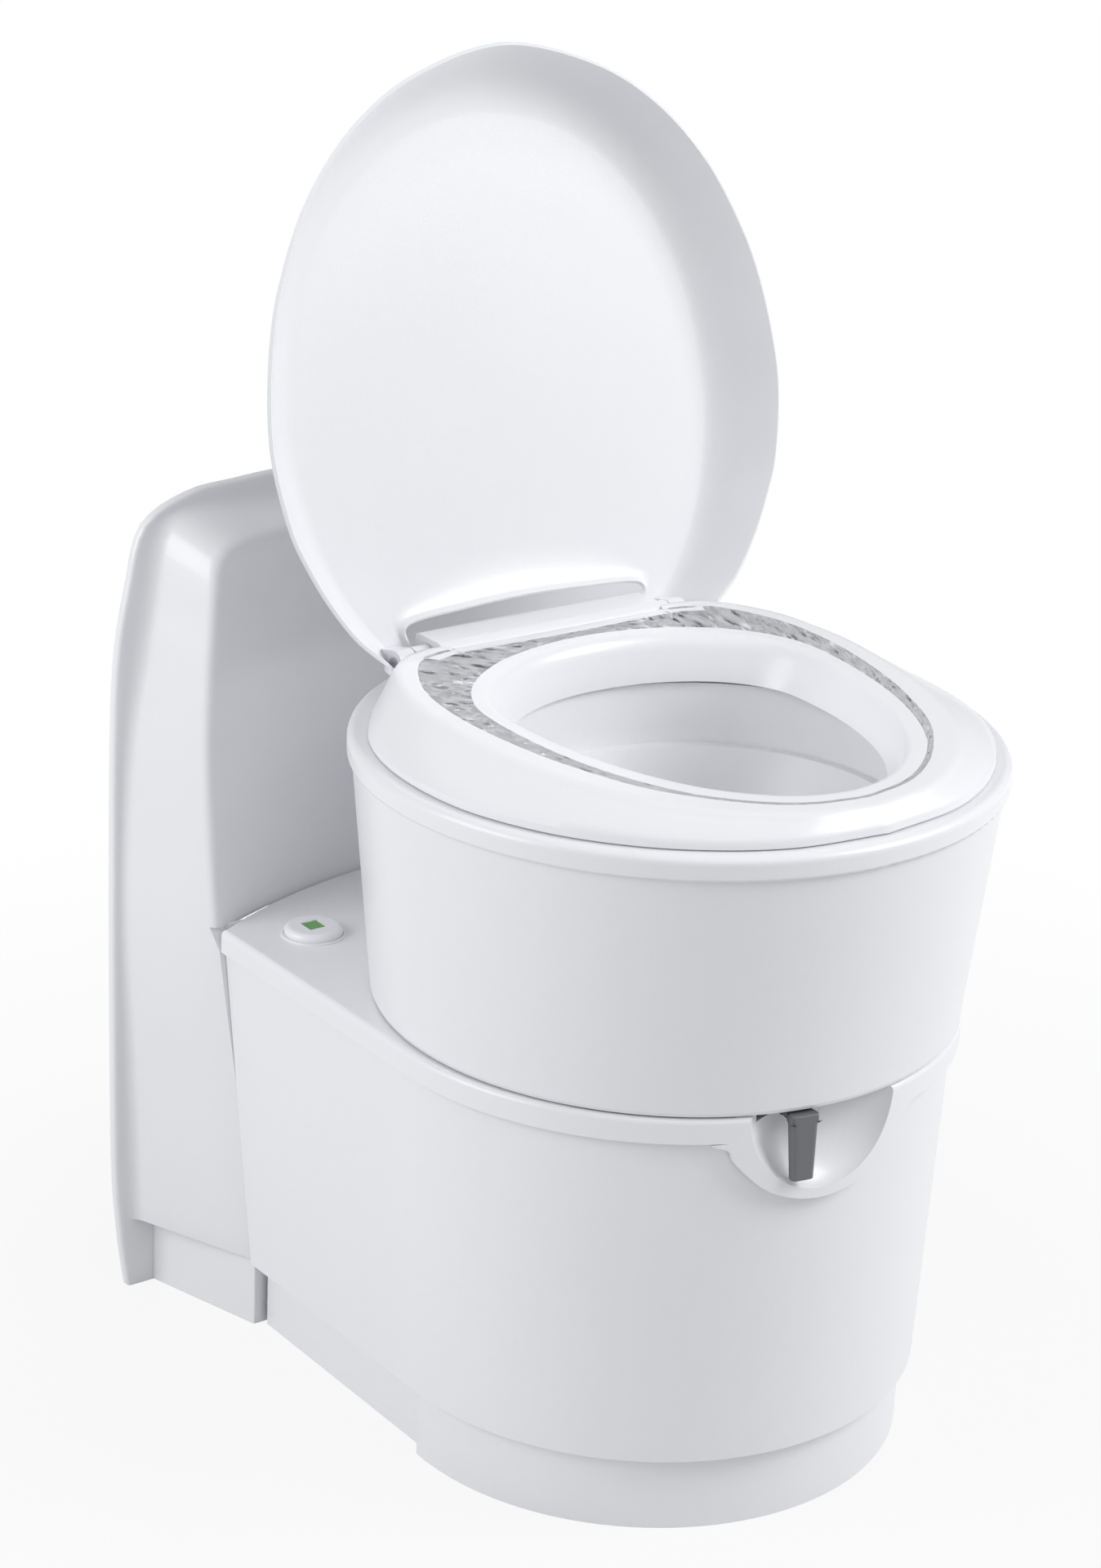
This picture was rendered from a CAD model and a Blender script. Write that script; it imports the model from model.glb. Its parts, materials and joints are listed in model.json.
# %% [markdown]
# A built-in cassette toilet in white plastic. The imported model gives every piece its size,
# its place and the body that it moves with. This script gives each piece its finish,
# rebuilds the softly rounded mouldings as smooth meshes, and sets up a plain studio.

# %% Load the frame
import json
import math

import bmesh
import bpy
from mathutils import Matrix, Vector


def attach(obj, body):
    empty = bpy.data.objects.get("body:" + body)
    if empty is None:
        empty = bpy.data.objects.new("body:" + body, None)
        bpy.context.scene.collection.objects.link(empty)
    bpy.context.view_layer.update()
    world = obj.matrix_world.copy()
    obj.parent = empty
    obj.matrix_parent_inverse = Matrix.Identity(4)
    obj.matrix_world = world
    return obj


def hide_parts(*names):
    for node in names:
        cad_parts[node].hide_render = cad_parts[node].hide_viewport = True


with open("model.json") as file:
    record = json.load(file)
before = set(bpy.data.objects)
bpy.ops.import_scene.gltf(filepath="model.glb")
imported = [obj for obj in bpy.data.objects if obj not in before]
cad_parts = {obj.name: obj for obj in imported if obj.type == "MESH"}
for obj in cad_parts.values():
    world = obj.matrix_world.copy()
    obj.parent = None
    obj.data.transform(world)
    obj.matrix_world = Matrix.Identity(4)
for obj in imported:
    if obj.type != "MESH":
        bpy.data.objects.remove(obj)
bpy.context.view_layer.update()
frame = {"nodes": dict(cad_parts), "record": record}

# %% [markdown]
# The camera stands in front of the toilet and to its left, a little above the seat, and it
# leans by a few degrees. A look-at direction with a roll says this in four numbers. The
# lens belongs to the long side of the upright picture.

# %% Camera
CAMERA_PLACE = Vector((-1.2796, -1.5561, 1.1849))
CAMERA_YAW = math.radians(-37.30)
CAMERA_PITCH = math.radians(-20.64)
CAMERA_ROLL = math.radians(2.56)
CAMERA_LENS = 78.93
SENSOR_LONG = 36.0


def aim_camera():
    """A camera at the photograph's place, looking the same way."""
    forward = Vector(
        (
            -math.sin(CAMERA_YAW) * math.cos(CAMERA_PITCH),
            math.cos(CAMERA_YAW) * math.cos(CAMERA_PITCH),
            math.sin(CAMERA_PITCH),
        )
    )
    right = forward.cross(Vector((0, 0, 1))).normalized()
    up = right.cross(forward)
    turned_right = math.cos(CAMERA_ROLL) * right + math.sin(CAMERA_ROLL) * up
    turned_up = math.cos(CAMERA_ROLL) * up - math.sin(CAMERA_ROLL) * right
    data = bpy.data.cameras.new("camera")
    data.sensor_fit = "VERTICAL"
    data.sensor_height = SENSOR_LONG
    data.lens = CAMERA_LENS
    camera = bpy.data.objects.new("camera", data)
    columns = Matrix((turned_right, turned_up, -forward)).transposed()
    camera.matrix_world = Matrix.Translation(CAMERA_PLACE) @ columns.to_4x4()
    bpy.context.scene.collection.objects.link(camera)
    bpy.context.scene.camera = camera
    return camera


camera = aim_camera()
print("camera looks along", [round(v, 3) for v in -camera.matrix_world.col[2].xyz])

# %% [markdown]
# Almost all that shows is one white plastic, moulded smooth with a satin gloss. A real
# moulding isn't quite even: its colour drifts a little and its skin has a very fine
# orange-peel. Two noise textures on Object coordinates give both, at their real scale.

# %% Plastic finishes
DRIFT_SCALE = 7.0
DRIFT_DETAIL = 3.0
DRIFT_LOW = 0.3
DRIFT_HIGH = 0.7
GLOSS_SPREAD = 0.04
SKIN_DETAIL = 2.0
SKIN_STRENGTH = 0.12
COAT_ROUGHNESS = 0.08


def plastic(name, colour, roughness, drift=0.015, peel=0.0006, grain=900.0, coat=0.0):
    """Moulded plastic: a slightly uneven colour and gloss, and a fine skin in the bump."""
    material = bpy.data.materials.new(name)
    material.use_nodes = True
    nodes = material.node_tree.nodes
    links = material.node_tree.links
    shader = nodes["Principled BSDF"]
    place = nodes.new("ShaderNodeTexCoord")

    drift_noise = nodes.new("ShaderNodeTexNoise")
    drift_noise.inputs["Scale"].default_value = DRIFT_SCALE
    drift_noise.inputs["Detail"].default_value = DRIFT_DETAIL
    links.new(place.outputs["Object"], drift_noise.inputs["Vector"])
    shade = nodes.new("ShaderNodeValToRGB")
    shade.color_ramp.elements[0].position = DRIFT_LOW
    shade.color_ramp.elements[1].position = DRIFT_HIGH
    shade.color_ramp.elements[0].color = [c * (1 - drift) for c in colour] + [1]
    shade.color_ramp.elements[1].color = list(colour) + [1]
    links.new(drift_noise.outputs["Fac"], shade.inputs["Fac"])
    links.new(shade.outputs["Color"], shader.inputs["Base Color"])

    gloss = nodes.new("ShaderNodeMapRange")
    gloss.inputs["To Min"].default_value = roughness - GLOSS_SPREAD
    gloss.inputs["To Max"].default_value = roughness + GLOSS_SPREAD
    links.new(drift_noise.outputs["Fac"], gloss.inputs["Value"])
    links.new(gloss.outputs["Result"], shader.inputs["Roughness"])

    skin = nodes.new("ShaderNodeTexNoise")
    skin.inputs["Scale"].default_value = grain
    skin.inputs["Detail"].default_value = SKIN_DETAIL
    links.new(place.outputs["Object"], skin.inputs["Vector"])
    bump = nodes.new("ShaderNodeBump")
    bump.inputs["Strength"].default_value = SKIN_STRENGTH
    bump.inputs["Distance"].default_value = peel
    links.new(skin.outputs["Fac"], bump.inputs["Height"])
    links.new(bump.outputs["Normal"], shader.inputs["Normal"])
    shader.inputs["Coat Weight"].default_value = coat
    shader.inputs["Coat Roughness"].default_value = COAT_ROUGHNESS
    return material


def metal(name, colour, roughness):
    """Zinc-plated steel with fine turning marks."""
    material = plastic(name, colour, roughness, drift=0.08, peel=0.0001, grain=2500.0)
    material.node_tree.nodes["Principled BSDF"].inputs["Metallic"].default_value = 1.0
    return material


FINISHES = {
    "white_plastic": plastic("satin_white_moulding", (0.86, 0.865, 0.885), 0.30, coat=0.15),
    "grey_plastic": plastic("grey_moulding", (0.15, 0.155, 0.165), 0.38),
    "dark_plastic": plastic("black_moulding", (0.03, 0.03, 0.033), 0.45),
    "green_window": plastic("green_tell_tale", (0.10, 0.34, 0.06), 0.2, coat=0.5),
    "tank_plastic": plastic("grey_blown_tank", (0.42, 0.43, 0.45), 0.5, peel=0.002, grain=260.0),
    "rubber_black": plastic("soft_black_rubber", (0.02, 0.02, 0.02), 0.7, peel=0.0004),
    "hose_clear": plastic("milky_hose", (0.62, 0.64, 0.66), 0.35),
    "steel": metal("zinc_plated_steel", (0.62, 0.63, 0.65), 0.3),
    "wheel_grey": plastic("hard_grey_wheel", (0.09, 0.09, 0.10), 0.5),
}


def finish_nodes():
    """Gives every CAD node the finish that its material slot names."""
    slots = {part["node"]: part["material_slot"] for part in frame["record"]["subparts"]}
    for node, thing in frame["nodes"].items():
        thing.data.materials.clear()
        thing.data.materials.append(FINISHES[slots[node]])
    return slots


NODE_SLOTS = finish_nodes()
print("finishes", sorted(FINISHES))

# %% [markdown]
# The mouldings are rounded in two ways. A small piece whose CAD shape is right keeps it, and
# only its sharp edges are softened: a merged copy of its mesh gets a Bevel modifier on the
# edges that are marked as sharp. That is quick and can't leave the CAD's shape. A piece with
# a flowing skin is lofted again below from its outlines. The pieces' sizes are written in
# millimetres, and MM turns them into metres. The camera, the lamps and the distances within
# which mesh points are merged are in metres.

# %% Helpers for pieces
MM = 0.001
SHARP = math.radians(28)
FLAT = math.radians(0.4)
SAME_PLACE = 2e-6
NORMAL_WEIGHT = 60
NODE_BODIES = {}
for body, members in frame["record"]["behaviour"]["bodies"].items():
    NODE_BODIES.update(dict.fromkeys(members, body))


def new_piece(name, mesh):
    """An object at the origin with the given mesh, smooth all over."""
    thing = bpy.data.objects.new(name, mesh)
    bpy.context.scene.collection.objects.link(thing)
    mesh.shade_smooth()
    return thing


def stands_for(thing, node, *more):
    """Gives a piece the finish and body of the CAD node that it replaces."""
    thing.data.materials.clear()
    thing.data.materials.append(FINISHES[NODE_SLOTS[node]])
    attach(thing, NODE_BODIES[node])
    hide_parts(node, *more)
    return thing


def baked(thing):
    """The piece's mesh with its modifiers applied; the object itself goes away."""
    depsgraph = bpy.context.evaluated_depsgraph_get()
    mesh = bpy.data.meshes.new_from_object(thing.evaluated_get(depsgraph))
    bpy.data.objects.remove(thing)
    return mesh


def even_normals(thing):
    """Flat faces shade flat and only the rounded edges turn the light."""
    weighted = thing.modifiers.new("even_normals", "WEIGHTED_NORMAL")
    weighted.keep_sharp = False
    weighted.weight = NORMAL_WEIGHT


def softened(node, name, width, segments):
    """A merged copy of a CAD node whose sharp edges are rounded by a width in mm."""
    shape = bmesh.new()
    shape.from_mesh(frame["nodes"][node].data)
    bmesh.ops.remove_doubles(shape, verts=shape.verts, dist=SAME_PLACE)
    bmesh.ops.dissolve_limit(shape, angle_limit=FLAT, verts=shape.verts, edges=shape.edges)
    weights = shape.edges.layers.float.new("bevel_weight_edge")
    inner = [edge for edge in shape.edges if len(edge.link_faces) == 2]
    sharp = [edge for edge in inner if edge.calc_face_angle(0) > SHARP]
    for edge in sharp:
        edge[weights] = 1.0
    mesh = bpy.data.meshes.new(name)
    shape.to_mesh(mesh)
    shape.free()
    thing = new_piece(name, mesh)
    bevel = thing.modifiers.new("soft_edges", "BEVEL")
    bevel.limit_method = "WEIGHT"
    bevel.width = width * MM
    bevel.segments = segments
    bevel.use_clamp_overlap = False
    even_normals(thing)
    print(name, "edges rounded", len(sharp), "by", width, "mm")
    return stands_for(thing, node)


# %% [markdown]
# A smooth line through named points comes back often: the outlines of lid and seat are such
# lines. A Catmull-Rom curve passes through its points, and sampling it by its length gives
# evenly spaced columns, which keeps the loft's quads even.

# %% Smooth outlines
STEPS_BETWEEN = 12
RIM_STEPS = 3
RIM_SHARP = math.radians(50)


def catmull_rom(points):
    """Points on the smooth line through the given ones, densely."""
    ends = [2 * points[0] - points[1]] + list(points) + [2 * points[-1] - points[-2]]
    line = []
    for before, start, end, after in zip(ends, ends[1:], ends[2:], ends[3:]):
        for step in range(STEPS_BETWEEN):
            t = step / STEPS_BETWEEN
            line.append(
                0.5 * (
                    2 * start
                    + (end - before) * t
                    + (2 * before - 5 * start + 4 * end - after) * t * t
                    + (3 * start - before - 3 * end + after) * t ** 3
                )
            )
    line.append(points[-1])
    return line


def evenly(line, count):
    """The line again, as count points that are equally far apart along it."""
    reach = [0.0]
    for start, end in zip(line, line[1:]):
        reach.append(reach[-1] + (end - start).length)
    spots = []
    piece = 0
    for step in range(count):
        goal = reach[-1] * step / (count - 1)
        while piece < len(line) - 2 and reach[piece + 1] < goal:
            piece += 1
        span = reach[piece + 1] - reach[piece]
        share = 0 if span == 0 else (goal - reach[piece]) / span
        spots.append(line[piece].lerp(line[piece + 1], min(share, 1)))
    return spots


def mirrored(half):
    """A half line that ends on the middle plane, completed with its mirror image."""
    return half + [Vector((-p.x, p.y)) for p in reversed(half[:-1])]


def on_side(points, side):
    """The points as they are for side 1, or on the other side of the middle plane for -1."""
    return [Vector((side * p.x, p.y, p.z)) for p in points]


def bend(start, corner, end, steps):
    """Points on a soft bend from start to end that is drawn towards a corner."""
    spots = []
    for step in range(steps + 1):
        t = step / steps
        spots.append((1 - t) ** 2 * start + 2 * t * (1 - t) * corner + t * t * end)
    return spots


def skin(name, columns, closed):
    """A sheet of quads over columns of points; closed joins the last column to the first."""
    deep = len(columns[0])
    points = [point * MM for column in columns for point in column]
    faces = []
    last = len(columns) if closed else len(columns) - 1
    for index in range(last):
        near = index * deep
        far = (index + 1) % len(columns) * deep
        for row in range(deep - 1):
            faces.append((near + row, near + row + 1, far + row + 1, far + row))
    mesh = bpy.data.meshes.new(name)
    mesh.from_pydata(points, [], faces)
    return mesh


def walled(name, mesh, wall, edge, turn_over):
    """The sheet as a moulding: a wall on its inner side and rounded rims."""
    if turn_over:
        mesh.flip_normals()
    thing = new_piece(name, mesh)
    solid = thing.modifiers.new("wall", "SOLIDIFY")
    solid.thickness = wall * MM
    solid.offset = -1
    rims = thing.modifiers.new("rims", "BEVEL")
    rims.width = edge * MM
    rims.segments = RIM_STEPS
    rims.limit_method = "ANGLE"
    rims.angle_limit = RIM_SHARP
    return baked(thing)


# %% [markdown]
# The lid is one shallow dish, open along its hinge edge, with a thin rounded rim. Its skin is
# a horseshoe of quads: each column runs down the wall from the rim, round a soft fillet and
# over the floor to the notch that goes round the hinge cover. A box model with subdivision
# could be as smooth, but here the fillet keeps the same width all the way round.

# %% Lid
HINGE_Y = 141.0
HINGE_Z = 487.0
LID_TILT = math.radians(13.1)
LID_RIM = 19.4
LID_BACK = -17.1
LID_WALL = 2.4
LID_RIM_LINE = (
    (131, -4), (131, 0), (153, 20), (170.5, 44.5), (183.5, 69), (193, 93), (200, 131.5), (200, 164),
    (193, 208.5), (180.5, 247), (156, 292.5), (118.5, 333), (69, 362), (0, 377.5),
)
LID_FLOOR_LINE = (
    (114.5, -4), (114.5, 0), (131, 20), (146, 44.5), (157, 69), (164.5, 93), (171.5, 131.5),
    (171.5, 164), (165.5, 208.5), (153, 247), (130, 287.5), (96.5, 320.5), (55, 343), (0, 353),
)
LID_NOTCH_LINE = ((92, -4), (92, 6), (92, 20), (46, 24), (0, 25.5))
LID_COLUMNS = 241
LID_FILLET = 18.0
FILLET_SHARE = 0.45
FILLET_STEPS = 8
WALL_ROWS = (0.15, 0.3)
LID_RIM_ROUND = 1.3
LID_LIP = 4.0
LIP_REACH = 6.0
LIP_SHARE = 0.3
LIP_KNEE = 0.35
FLOOR_ROWS = 10


def on_lid(spot, height):
    """A place on the lid from its own plane: across, up the lid, and towards the front."""
    return Vector(
        (
            spot.x,
            HINGE_Y + spot.y * math.sin(LID_TILT) - height * math.cos(LID_TILT),
            HINGE_Z + spot.y * math.cos(LID_TILT) + height * math.sin(LID_TILT),
        )
    )


def lid_columns():
    """The lid's outer skin, column by column, from the rim to the notch."""
    lines = []
    for half in (LID_RIM_LINE, LID_FLOOR_LINE, LID_NOTCH_LINE):
        whole = mirrored([Vector(p) for p in half])
        lines.append(evenly(catmull_rom(whole), LID_COLUMNS))
    columns = []
    for rim, floor, notch in zip(*lines):
        top = on_lid(rim, LID_RIM)
        corner = on_lid(floor, LID_BACK)
        across = floor + (notch - floor) * min(FILLET_SHARE, LID_FILLET / (notch - floor).length)
        wall_start = top.lerp(corner, FILLET_SHARE)
        floor_start = on_lid(across, LID_BACK)
        column = [top] + [top.lerp(corner, share) for share in WALL_ROWS]
        column += bend(wall_start, corner, floor_start, FILLET_STEPS)
        lip = min(LIP_REACH, LIP_SHARE * (notch - across).length)
        lip_start = notch + (across - notch).normalized() * lip
        for step in range(1, FLOOR_ROWS + 1):
            column.append(on_lid(across.lerp(lip_start, step / FLOOR_ROWS), LID_BACK))
        column += [
            on_lid(lip_start.lerp(notch, 0.5), LID_BACK + LIP_KNEE * LID_LIP),
            on_lid(notch, LID_BACK + LID_LIP),
        ]
        columns.append(column)
    return columns


def make_lid():
    """The lid's dish."""
    dish = walled("dish", skin("dish", lid_columns(), False), LID_WALL, LID_RIM_ROUND, False)
    return stands_for(new_piece("lid_dish", dish), "lid")


lid_dish = make_lid()
print("lid", len(lid_dish.data.polygons), "faces")

# %% [markdown]
# The seat is a ring with an egg-shaped hole. Its top land slopes up to the rear, and a broad
# soft shoulder runs down to its edge. It is lofted like the lid: every column starts at the
# hole's lower edge, climbs the wall, rolls over onto the land and falls down the shoulder.
# The rear edge steps in where the hinge cover stands.

# %% Seat
SEAT_BOTTOM = 466.0
SEAT_FRONT_TOP = 481.0
SEAT_FRONT = -198.0
SEAT_REAR_RISE = 18.0
SEAT_LENGTH = 328.0
SEAT_SLOPE = SEAT_REAR_RISE / SEAT_LENGTH
SEAT_WALL = 3.5
SEAT_FOOT_LINE = (
    (0, -198), (65, -187), (120, -156), (160, -113), (183.5, -65), (191.7, -20), (188.3, 30),
    (173.6, 74), (150, 107), (133, 123.5), (112, 130),
)
SEAT_HEAD_LINE = (
    (0, -190), (48, -180), (90, -152), (122, -113), (141, -65), (151, -20), (155, 30),
    (149, 74), (133, 106), (119, 121), (102, 127),
)
SEAT_REAR_STEP = ((90.2, 128.5), (89.7, 121.4), (0, 121.4))
HOLE_MID = 8.0
HOLE_FOOT = (108.0, 78.0, 174.0)
HOLE_HEAD = (124.0, 83.0, 179.0)
SEAT_HALF_COLUMNS = 121
SEAT_ROLL = 11.0
ROLL_SHARE = 0.42
ROLL_WALL_SHARE = 0.9
SHOULDER_SHARE = 0.4
ROLL_STEPS = 7
LAND_STEPS = 5
FLANK_STEPS = 6
TOE_HEIGHT = 2.5
SEAT_RIM_ROUND = 0.8
QUARTER_TURN = 90
# Room for the closed lid over the seat's rear edge, and a flank that swells only in front.
SEAT_REAR_EASE = 0.8
SEAT_REAR_START = 114.0
SWELL = 0.06
SWELL_FULL = -120.0
SWELL_NONE = -60.0


def egg_line(size):
    """Half of the hole's outline, from the front to the rear along the right side."""
    across, rear, front = size
    line = []
    for degrees in range(-QUARTER_TURN, QUARTER_TURN + 1):
        angle = math.radians(degrees)
        long_way = rear if degrees > 0 else front
        line.append(Vector((across * math.cos(angle), HOLE_MID + long_way * math.sin(angle))))
    return evenly(line, SEAT_HALF_COLUMNS)


def seat_line(points):
    """Half of the seat's outline, from the front to the middle of the rear edge."""
    smooth = catmull_rom([Vector(p) for p in points])
    return evenly(smooth + [Vector(p) for p in SEAT_REAR_STEP], SEAT_HALF_COLUMNS)


def at_height(spot, z):
    """A place in plan, lifted to a height."""
    return Vector((spot.x, spot.y, z))


def seat_top(spot):
    """The height of the sloping top land over a place in plan."""
    return SEAT_FRONT_TOP + SEAT_SLOPE * (spot.y - SEAT_FRONT)


def seat_column(hole_foot, hole_head, head, foot):
    """One column of the seat's skin, from the hole's lower edge to the outer foot."""
    land = (head - hole_head).length
    way = (head - hole_head).normalized()
    roll = min(SEAT_ROLL, ROLL_SHARE * land)
    low = at_height(hole_foot, SEAT_BOTTOM)
    crest = at_height(hole_head, seat_top(hole_head))
    edge = at_height(head, seat_top(head))
    brim = at_height(foot, SEAT_BOTTOM)
    inner_end = at_height(hole_head + way * roll, seat_top(hole_head + way * roll))
    outer_start = at_height(head - way * roll, seat_top(head - way * roll))
    roll_low = crest.lerp(low, min(ROLL_WALL_SHARE, roll / (crest - low).length))
    column = [low, low.lerp(roll_low, 0.5)]
    column += bend(roll_low, crest, inner_end, ROLL_STEPS)
    column += [inner_end.lerp(outer_start, step / LAND_STEPS) for step in range(1, LAND_STEPS)]
    shoulder = edge.lerp(brim, min(SHOULDER_SHARE, roll / (edge - brim).length))
    column += bend(outer_start, edge, shoulder, ROLL_STEPS)
    toe = brim + Vector((0, 0, TOE_HEIGHT))
    share = min(1.0, max(0.0, (foot.y - SWELL_NONE) / (SWELL_FULL - SWELL_NONE)))
    swell = shoulder.lerp(toe, 0.5) + Vector((0, 0, SWELL * share * (foot - head).length))
    column += bend(shoulder, swell, toe, FLANK_STEPS)[1:]
    column.append(brim)
    return column


def make_seat():
    """The seat's hollow ring."""
    hole = [egg_line(HOLE_FOOT), egg_line(HOLE_HEAD)]
    halves = hole + [seat_line(SEAT_HEAD_LINE), seat_line(SEAT_FOOT_LINE)]
    right = [seat_column(*spots) for spots in zip(*halves)]
    left = [on_side(column, -1) for column in reversed(right[1:-1])]
    ring = walled("ring", skin("ring", right + left, True), SEAT_WALL, SEAT_RIM_ROUND, True)
    for vertex in ring.vertices:
        ease = SEAT_REAR_EASE if vertex.co.y > SEAT_REAR_START * MM else 0
        vertex.co.z = min(vertex.co.z, (seat_top(vertex.co / MM) - ease) * MM)
    return stands_for(new_piece("seat_ring", ring), "seat")


seat_ring = make_seat()
print("seat", len(seat_ring.data.polygons), "faces")

# %% [markdown]
# The housing on the wall is one large moulding: a flange with a rounded rim, a hollow cove,
# and a tapered block with soft corners and a hollow front. Boxes with bevels would meet in
# hard creases, so it is lofted too. Each column runs from the flange's back edge round the
# rim, through the cove, along the block's side and over its corner; the front panel is a
# patch spread between the ends of the columns.

# %% Housing outlines
COVE_Y = 296.0
FLANGE_BACK = 302.0
DECK_LEVEL = 291.0
HOUSING_WALL = 3.0
FLANGE_ROUND = 3.6
CORNER_ROUND = 6.0
SEAM_FOOT = 288.6
HOUSING_TAPER = math.tan(math.radians(22))
HOUSING_DEEP = 110.0
HOUSING_RIM_ROUND = 0.7
TAPER_FULL_X = 170.0
TOP_TAPER_START = 300.0
TOP_TAPER_SPAN = 257.0
LEVEL_MARGIN = 0.5
HALVINGS = 30
RIM_BEND_START = 0.4
RIM_BEND_STEPS = 4
FACE_SHARE = 0.45
COVE_ROUND = 8.0
COVE_SHARE = 0.3
COVE_STEPS = 6
CORNER_SHARE = 0.4
SIDE_ROWS = (0.33, 0.66, 1.0)
FRONT_MID = 270.0
FRONT_HALF = 193.0
FRONT_FOOT = 192.0
FRONT_LEAN = 0.11
WING_INNER = 160.0
COVE_LINE = (
    (213, 0), (213.5, 26), (214, 52), (218, 175), (221.8, 291), (218, 399), (209, 465), (203, 498),
    (197.5, 531), (191.5, 549), (174, 557), (130, 557), (65, 557), (0, 557),
)
COVE_SPLITS = (2, 4, 9)
FLANGE_LINE = (
    (219, 0), (223, 25), (226, 52), (229, 98), (230, 220), (230, 291), (229, 400), (226, 463),
    (218, 508), (206, 549), (172, 567), (136, 571), (100, 573.5), (0, 577),
)
FLANGE_SPLITS = (2, 5, 9)
HOUSING_COLUMNS = (4, 16, 28, 22)


def in_sections(points, splits):
    """A smooth line sampled section by section, so that two lines keep pace with each other."""
    dense = catmull_rom([Vector(p) for p in points])
    cuts = [0] + [STEPS_BETWEEN * split for split in splits] + [len(dense) - 1]
    line = []
    for start, end, count in zip(cuts, cuts[1:], HOUSING_COLUMNS):
        line += evenly(dense[start:end + 1], count + 1)[:-1]
    line.append(dense[-1])
    return line


def front_y(x, z):
    """How far forward the hollow front face stands, by x and height."""
    edge = FRONT_FOOT + FRONT_LEAN * z
    if z < DECK_LEVEL - LEVEL_MARGIN or abs(x) >= FRONT_HALF:
        return edge
    hollow = FRONT_MID - edge
    radius = (FRONT_HALF ** 2 + hollow ** 2) / (2 * hollow)
    return FRONT_MID - radius + math.sqrt(radius ** 2 - x * x)


def block_point(cove, deep):
    """A point of the block's tapered side, deep in front of the cove's plane."""
    inset = deep * HOUSING_TAPER
    across = min(1.0, cove.x / TAPER_FULL_X)
    upwards = max(0.0, (cove.y - TOP_TAPER_START) / TOP_TAPER_SPAN) ** 2
    return Vector((cove.x - inset * across, COVE_Y - deep, cove.y - inset * upwards))


def block_depth(cove):
    """How deep the block is where its side meets the front face."""
    low = 0.0
    high = HOUSING_DEEP
    for _ in range(HALVINGS):
        middle = (low + high) / 2
        point = block_point(cove, middle)
        if point.y > front_y(point.x, point.z):
            low = middle
        else:
            high = middle
    return low


def housing_column(flange, cove):
    """One column of the housing's skin above the plinth, from the flange's back to the front."""
    rim = Vector((flange.x, FLANGE_BACK, flange.y))
    rim_edge = Vector((flange.x, COVE_Y, flange.y))
    cove_edge = Vector((cove.x, COVE_Y, cove.y))
    band = (cove_edge - rim_edge).length
    face_start = rim_edge.lerp(cove_edge, min(FACE_SHARE, FLANGE_ROUND / band))
    cove_start = rim_edge.lerp(cove_edge, 0.5)
    column = [rim] + bend(rim.lerp(rim_edge, RIM_BEND_START), rim_edge, face_start, RIM_BEND_STEPS)
    deep = block_depth(cove)
    cove_deep = min(COVE_ROUND, COVE_SHARE * deep)
    column += bend(cove_start, cove_edge, block_point(cove, cove_deep), COVE_STEPS)
    turn = deep - min(CORNER_ROUND, CORNER_SHARE * deep)
    if cove.y < DECK_LEVEL - LEVEL_MARGIN:
        turn = deep
    column += [block_point(cove, cove_deep * (1 - t) + turn * t) for t in SIDE_ROWS]
    return column


# %% [markdown]
# The front panel is hollow, so its inner points are laid on the curve by their height and
# their distance from the middle. Narrow strips run a little way down behind the edge of the
# deck, so that no light shows through that seam.

# %% Housing
FRONT_LEVELS = HOUSING_COLUMNS[0] + HOUSING_COLUMNS[1]
PANEL_CENTRE = Vector((0, 0, 415.5))
SIDE_TURN_Z = 500.0
TOP_TURN_X = 140.0
PANEL_STEPS = 6
PLATE_ROWS = RIM_BEND_STEPS + 2
PLATE_STEPS = (0.3, 0.6, 1.0)
SEAM_STEPS = (0.0, 0.5, 1.0)
WELD = 2e-5
# In metres: the face that is nearest to this spot on the front panel has to look forward.
FRONT_SPOT = Vector((0, 0.27, 0.42))


def panel_end(cove):
    """Where the rounded corner ends on the front face, and the corner that it is drawn to."""
    deep = block_depth(cove)
    corner = block_point(cove, deep)
    inward = Vector((PANEL_CENTRE.x - corner.x, 0, PANEL_CENTRE.z - corner.z)).normalized()
    if cove.y < SIDE_TURN_Z:
        inward = Vector((-1, 0, 0))
    if cove.x < TOP_TURN_X:
        inward = Vector((0, 0, -1))
    end = corner + inward * CORNER_ROUND
    end.y = front_y(end.x, end.z)
    return corner, end


def blend_patch(left, right, bottom, top):
    """Rows of points spread evenly between four edges that meet at their ends."""
    rows = []
    for row, (near, far) in enumerate(zip(left, right)):
        v = row / (len(left) - 1)
        line = []
        for place, (low, high) in enumerate(zip(bottom, top)):
            u = place / (len(bottom) - 1)
            lower = (1 - u) * bottom[0] + u * bottom[-1]
            upper = (1 - u) * top[0] + u * top[-1]
            point = (1 - v) * low + v * high + (1 - u) * near + u * far
            line.append(point - (1 - v) * lower - v * upper)
        rows.append(line)
    return rows


def add_grid(shape, rows):
    """Quads over rows of points, added to a bmesh in metres."""
    grid = [[shape.verts.new(point * MM) for point in row] for row in rows]
    for first, second in zip(grid, grid[1:]):
        for index in range(len(first) - 1):
            shape.faces.new((first[index], first[index + 1], second[index + 1], second[index]))


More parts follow.
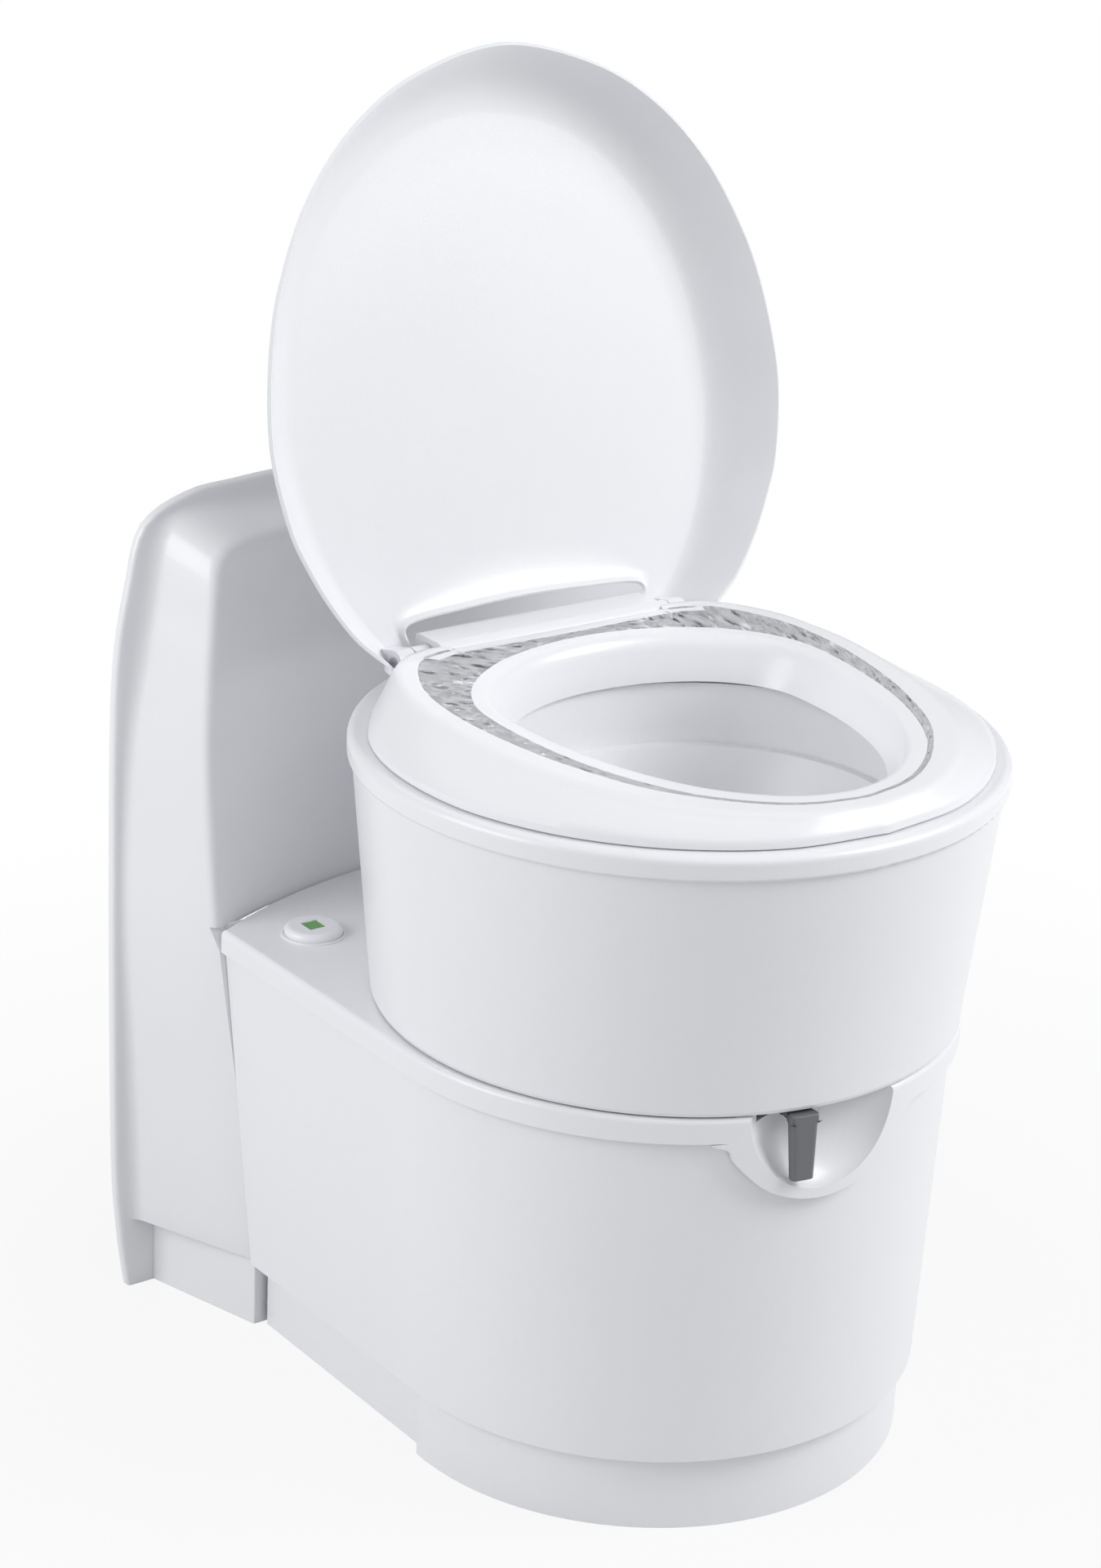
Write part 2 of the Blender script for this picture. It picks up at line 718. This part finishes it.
def add_sides(shape, columns):
    """The lofted sides, the flat plate beside the plinth, and the strips along the seam."""
    foot = HOUSING_COLUMNS[0]
    for side in (1, -1):
        sided = [on_side(column, side) for column in columns]
        add_grid(shape, sided[foot:])
        plate = []
        for column in sided[:foot + 1]:
            inner = Vector((side * WING_INNER, COVE_Y, column[0].z))
            face = column[PLATE_ROWS - 1]
            plate.append(column[:PLATE_ROWS] + [face.lerp(inner, t) for t in PLATE_STEPS])
        add_grid(shape, plate)
        seam = []
        for column in sided[foot:FRONT_LEVELS + 1]:
            inner = Vector((side * WING_INNER, column[-1].y, column[-1].z))
            seam.append([column[-1].lerp(inner, t) for t in SEAM_STEPS])
        add_grid(shape, seam)


def add_front(shape, edge):
    """The hollow front panel inside an edge that runs up the right side to the top's middle."""
    level = HOUSING_COLUMNS[2]
    right = edge[:level + 1]
    top = on_side(edge[level:], -1) + list(reversed(edge[level:-1]))
    reach = right[0].x
    bottom = []
    for step in range(len(top)):
        x = -reach + 2 * reach * step / (len(top) - 1)
        bottom.append(Vector((x, front_y(x, DECK_LEVEL), right[0].z)))
    add_grid(shape, [bottom, [Vector((p.x, p.y, SEAM_FOOT)) for p in bottom]])
    rows = blend_patch(on_side(right, -1), right, bottom, top)
    for row in rows[1:-1]:
        for point in row[1:-1]:
            point.y = front_y(point.x, point.z)
    add_grid(shape, rows)


def housing_skin():
    """The housing's outer skin as one mesh."""
    flange = in_sections(FLANGE_LINE, FLANGE_SPLITS)
    cove = in_sections(COVE_LINE, COVE_SPLITS)
    columns = [housing_column(*spots) for spots in zip(flange, cove)]
    shape = bmesh.new()
    add_sides(shape, columns)
    ends = []
    for column, spot in zip(columns[FRONT_LEVELS:], cove[FRONT_LEVELS:]):
        corner, end = panel_end(spot)
        ends.append(bend(column[-1], corner, end, PANEL_STEPS))
    for side in (1, -1):
        add_grid(shape, [on_side(row, side) for row in ends])
    add_front(shape, [row[-1] for row in ends])
    bmesh.ops.remove_doubles(shape, verts=shape.verts, dist=WELD)
    bmesh.ops.recalc_face_normals(shape, faces=shape.faces)
    front = min(shape.faces, key=lambda face: (face.calc_center_median() - FRONT_SPOT).length)
    if front.normal.y > 0:
        bmesh.ops.reverse_faces(shape, faces=shape.faces)
    mesh = bpy.data.meshes.new("housing_skin")
    shape.to_mesh(mesh)
    shape.free()
    return mesh


housing_mesh = walled("housing", housing_skin(), HOUSING_WALL, HOUSING_RIM_ROUND, False)
housing = stands_for(new_piece("housing_moulding", housing_mesh), "wall_housing")
print("housing", len(housing.data.polygons), "faces")

# %% [markdown]
# Small straight-edged pieces need no loft. Rounding their edges by a millimetre or so is
# enough, because light catches a rounded edge as a fine bright line.

# %% Small pieces with soft edges
ROUNDING_STEPS = 2
SMALL_ROUNDINGS = {
    "rear_plinth_blocks": 1.0,
    "lever_grip": 1.0,
    "switch_box": 0.8,
    "handle_brackets": 0.6,
}
for node, width in SMALL_ROUNDINGS.items():
    softened(node, node + "_soft", width, ROUNDING_STEPS)

# %% [markdown]
# Screws repeat, so a Geometry Nodes tree sets one on every marked point. The tree's inputs are
# the screw's sizes and its material; it ends in real geometry, which is kept as a plain mesh.

# %% Screws
BENCH_SCREW_RING = 165.5
BENCH_SCREW_ANGLES = (195, 225, 255, 285, 315, 345)
BENCH_SCREW_Z = 55.0
BENCH_SCREW_LEN = 15.0
HOUSING_SCREW_X = 115.0
HOUSING_SCREW_Y = 279.0
HOUSING_SCREW_Z = 285.0
HOUSING_SCREW_LEN = 3.0
HEAD_ROUND = 24
CROSS_LONG = 4.2
CROSS_WIDE = 0.9
CROSS_DEEP = 2.4
SCREW_SIZES = {
    "Head Radius": 4.0,
    "Head Taper": 3.0,
    "Head Height": 2.5,
    "Shank Radius": 2.0,
    "Shank Length": 15.0,
}


def screw_tree():
    """A tree that sets a small cross-head screw on every point it is given."""
    tree = bpy.data.node_groups.new("screws_on_points", "GeometryNodeTree")
    tree.interface.new_socket("Points", in_out="INPUT", socket_type="NodeSocketGeometry")
    for label, size in SCREW_SIZES.items():
        socket = tree.interface.new_socket(label, in_out="INPUT", socket_type="NodeSocketFloat")
        socket.default_value = size * MM
    tree.interface.new_socket("Material", in_out="INPUT", socket_type="NodeSocketMaterial")
    tree.interface.new_socket("Screws", in_out="OUTPUT", socket_type="NodeSocketGeometry")
    nodes = tree.nodes
    links = tree.links
    given = nodes.new("NodeGroupInput")
    result = nodes.new("NodeGroupOutput")

    head = nodes.new("GeometryNodeMeshCone")
    head.inputs["Vertices"].default_value = HEAD_ROUND
    links.new(given.outputs["Head Radius"], head.inputs["Radius Bottom"])
    links.new(given.outputs["Head Taper"], head.inputs["Radius Top"])
    links.new(given.outputs["Head Height"], head.inputs["Depth"])
    lift = nodes.new("ShaderNodeCombineXYZ")
    links.new(given.outputs["Head Height"], lift.inputs["Z"])
    cut = nodes.new("GeometryNodeMeshBoolean")
    cut.operation = "DIFFERENCE"
    links.new(head.outputs["Mesh"], cut.inputs["Mesh 1"])
    for long_x, long_y in ((CROSS_LONG, CROSS_WIDE), (CROSS_WIDE, CROSS_LONG)):
        arm = nodes.new("GeometryNodeMeshCube")
        arm.inputs["Size"].default_value = (long_x * MM, long_y * MM, CROSS_DEEP * MM)
        raised = nodes.new("GeometryNodeTransform")
        links.new(arm.outputs["Mesh"], raised.inputs["Geometry"])
        links.new(lift.outputs["Vector"], raised.inputs["Translation"])
        links.new(raised.outputs["Geometry"], cut.inputs["Mesh 2"])

    shank = nodes.new("GeometryNodeMeshCylinder")
    shank.inputs["Vertices"].default_value = HEAD_ROUND
    links.new(given.outputs["Shank Radius"], shank.inputs["Radius"])
    links.new(given.outputs["Shank Length"], shank.inputs["Depth"])
    half = nodes.new("ShaderNodeMath")
    half.operation = "MULTIPLY"
    half.inputs[1].default_value = -0.5
    links.new(given.outputs["Shank Length"], half.inputs[0])
    drop = nodes.new("ShaderNodeCombineXYZ")
    links.new(half.outputs["Value"], drop.inputs["Z"])
    lowered = nodes.new("GeometryNodeTransform")
    links.new(shank.outputs["Mesh"], lowered.inputs["Geometry"])
    links.new(drop.outputs["Vector"], lowered.inputs["Translation"])

    screw = nodes.new("GeometryNodeJoinGeometry")
    links.new(cut.outputs["Mesh"], screw.inputs["Geometry"])
    links.new(lowered.outputs["Geometry"], screw.inputs["Geometry"])
    placed = nodes.new("GeometryNodeInstanceOnPoints")
    links.new(given.outputs["Points"], placed.inputs["Points"])
    links.new(screw.outputs["Geometry"], placed.inputs["Instance"])
    real = nodes.new("GeometryNodeRealizeInstances")
    links.new(placed.outputs["Instances"], real.inputs["Geometry"])
    coated = nodes.new("GeometryNodeSetMaterial")
    links.new(real.outputs["Geometry"], coated.inputs["Geometry"])
    links.new(given.outputs["Material"], coated.inputs["Material"])
    links.new(coated.outputs["Geometry"], result.inputs["Screws"])
    return tree


def screws(name, node, spots, length, upside_down):
    """The screws of one CAD node, at their spots under the heads."""
    points = bpy.data.meshes.new(name)
    turned = Matrix.Rotation(math.pi if upside_down else 0, 4, "X")
    points.from_pydata([turned @ (Vector(spot) * MM) for spot in spots], [], [])
    holder = new_piece(name, points)
    modifier = holder.modifiers.new("screws", "NODES")
    modifier.node_group = SCREW_TREE
    for socket in SCREW_TREE.interface.items_tree:
        if socket.name == "Shank Length":
            modifier[socket.identifier] = length * MM
        if socket.name == "Material":
            modifier[socket.identifier] = FINISHES[NODE_SLOTS[node]]
    mesh = baked(holder)
    mesh.transform(turned)
    thing = bpy.data.objects.new(name, mesh)
    bpy.context.scene.collection.objects.link(thing)
    return stands_for(thing, node)


SCREW_TREE = screw_tree()
BENCH_SPOTS = []
for degrees in BENCH_SCREW_ANGLES:
    angle = math.radians(degrees)
    across = BENCH_SCREW_RING * math.cos(angle)
    along = BENCH_SCREW_RING * math.sin(angle)
    BENCH_SPOTS.append((across, along, BENCH_SCREW_Z))
HOUSING_SPOTS = [(side * HOUSING_SCREW_X, HOUSING_SCREW_Y, HOUSING_SCREW_Z) for side in (-1, 1)]
for thing in (
    screws("bench_screw_set", "bench_screws", BENCH_SPOTS, BENCH_SCREW_LEN, False),
    screws("housing_screw_set", "housing_screws", HOUSING_SPOTS, HOUSING_SCREW_LEN, True),
):
    heights = [round(vertex.co.z / MM, 1) for vertex in thing.data.vertices]
    print(thing.name, len(thing.data.polygons), "faces, z", min(heights), "to", max(heights), "mm")

# %% [markdown]
# The studio is a pale floor that fades into a white backdrop, a soft key lamp above the front
# right, a weaker fill on the left, a faint lamp high in front, and a dim world that fills the
# shadows.

# %% Studio
FLOOR_SIZE = 8.0
FADE_START = 0.35
FADE_END = 1.1
NEAR_WHITE = 0.88
KEY_PLACE = (1.6, -1.5, 2.0)
KEY_SIZE = 1.4
KEY_POWER = 46.0
FILL_PLACE = (-2.4, 0.6, 1.4)
FILL_SIZE = 1.6
FILL_POWER = 32.0
TOP_PLACE = (-0.8, -1.7, 2.9)
TOP_SIZE = 2.0
TOP_POWER = 6.0
WORLD_LIGHT = 0.48
WORLD_COLOUR = (0.95, 0.97, 1.0, 1)
WHITE = (1, 1, 1, 1)
GROUND_ROUGHNESS = 0.9
GROUND_SPECULAR = 0.1
GROUND_GREY = 0.6
LOOK_AT = Vector((0, 0, 0.45))


def soft_lamp(name, place, size, power):
    """A square area lamp aimed at the middle of the toilet."""
    data = bpy.data.lights.new(name, "AREA")
    data.size = size
    data.energy = power
    lamp = bpy.data.objects.new(name, data)
    lamp.location = place
    lamp.rotation_euler = (LOOK_AT - Vector(place)).to_track_quat("-Z", "Y").to_euler()
    bpy.context.scene.collection.objects.link(lamp)
    return lamp


def white_ground(name):
    """Nearly white to the eye, quite white further out, and pale to the light that falls on it."""
    material = bpy.data.materials.new(name)
    material.use_nodes = True
    nodes = material.node_tree.nodes
    links = material.node_tree.links
    shader = nodes["Principled BSDF"]
    shader.inputs["Base Color"].default_value = (GROUND_GREY, GROUND_GREY, GROUND_GREY, 1)
    shader.inputs["Roughness"].default_value = GROUND_ROUGHNESS
    shader.inputs["Specular IOR Level"].default_value = GROUND_SPECULAR

    place = nodes.new("ShaderNodeTexCoord")
    distance = nodes.new("ShaderNodeVectorMath")
    distance.operation = "LENGTH"
    links.new(place.outputs["Object"], distance.inputs[0])
    fade = nodes.new("ShaderNodeMapRange")
    fade.inputs["From Min"].default_value = FADE_START
    fade.inputs["From Max"].default_value = FADE_END
    fade.inputs["To Min"].default_value = NEAR_WHITE
    fade.inputs["To Max"].default_value = 1.0
    links.new(distance.outputs["Value"], fade.inputs["Value"])

    path = nodes.new("ShaderNodeLightPath")
    glossy = nodes.new("ShaderNodeMath")
    glossy.operation = "MAXIMUM"
    links.new(path.outputs["Is Camera Ray"], glossy.inputs[0])
    links.new(path.outputs["Is Glossy Ray"], glossy.inputs[1])
    seen = nodes.new("ShaderNodeMath")
    seen.operation = "MAXIMUM"
    links.new(glossy.outputs["Value"], seen.inputs[0])
    links.new(path.outputs["Is Transmission Ray"], seen.inputs[1])
    share = nodes.new("ShaderNodeMath")
    share.operation = "MULTIPLY"
    links.new(seen.outputs["Value"], share.inputs[0])
    links.new(fade.outputs["Result"], share.inputs[1])

    white = nodes.new("ShaderNodeEmission")
    white.inputs["Color"].default_value = WHITE
    white.inputs["Strength"].default_value = 1.0
    mix = nodes.new("ShaderNodeMixShader")
    links.new(share.outputs["Value"], mix.inputs["Fac"])
    links.new(shader.outputs["BSDF"], mix.inputs[1])
    links.new(white.outputs["Emission"], mix.inputs[2])
    links.new(mix.outputs["Shader"], nodes["Material Output"].inputs["Surface"])
    return material


def studio():
    """The floor, the lamps and the world's light."""
    floor_mesh = bpy.data.meshes.new("floor")
    half = FLOOR_SIZE / 2
    corners = [(-half, -half, 0), (half, -half, 0), (half, half, 0), (-half, half, 0)]
    floor_mesh.from_pydata(corners, [], [(0, 1, 2, 3)])
    floor = bpy.data.objects.new("floor", floor_mesh)
    floor.data.materials.append(white_ground("pale_floor"))
    bpy.context.scene.collection.objects.link(floor)
    soft_lamp("key_lamp", KEY_PLACE, KEY_SIZE, KEY_POWER)
    soft_lamp("fill_lamp", FILL_PLACE, FILL_SIZE, FILL_POWER)
    soft_lamp("top_lamp", TOP_PLACE, TOP_SIZE, TOP_POWER)
    world = bpy.context.scene.world or bpy.data.worlds.new("world")
    bpy.context.scene.world = world
    world.use_nodes = True
    nodes = world.node_tree.nodes
    links = world.node_tree.links
    fill = nodes["Background"]
    fill.inputs["Color"].default_value = WORLD_COLOUR
    fill.inputs["Strength"].default_value = WORLD_LIGHT
    white = nodes.new("ShaderNodeBackground")
    white.inputs["Color"].default_value = WHITE
    white.inputs["Strength"].default_value = 1.0
    path = nodes.new("ShaderNodeLightPath")
    mix = nodes.new("ShaderNodeMixShader")
    links.new(path.outputs["Is Camera Ray"], mix.inputs["Fac"])
    links.new(fill.outputs["Background"], mix.inputs[1])
    links.new(white.outputs["Background"], mix.inputs[2])
    links.new(mix.outputs["Shader"], nodes["World Output"].inputs["Surface"])
    bpy.context.scene.view_settings.view_transform = "Standard"


studio()
